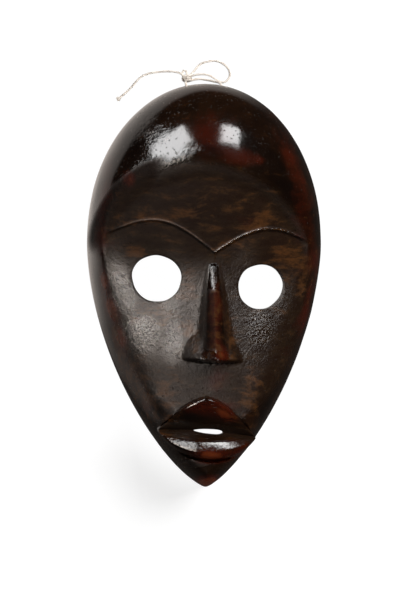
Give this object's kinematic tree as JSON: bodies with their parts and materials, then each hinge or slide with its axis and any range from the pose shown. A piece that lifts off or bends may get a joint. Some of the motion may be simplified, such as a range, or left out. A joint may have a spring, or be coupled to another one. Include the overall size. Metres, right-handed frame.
{
  "type": "carved face mask",
  "caption": "Carved wooden face mask with a domed forehead, round eye holes, pouting lips and a pointed chin, hollow behind, with a twine tied through its upper rim.",
  "frame": {"origin": "middle of the mask's length and width, on the plane of the rim's flat back", "axes": "+Z out of the face, +Y towards the forehead, +X to the right of someone who looks at the face"},
  "size_m": [0.14, 0.2553, 0.0647],
  "materials": {
    "patinated_wood": "dark brown hardwood, rubbed glossy on the forehead, nose, lips and chin, matte on the plane of the face, worn red-brown on its edges",
    "twine": "undyed twisted twine"
  },
  "bodies": {
    "root": {"mask": "patinated_wood", "twine_loop": "twine", "twine_hanger": "twine", "twine_tail": "twine", "twine_knot": "twine", "twine_end_knot": "twine"}
  },
  "joints": []
}
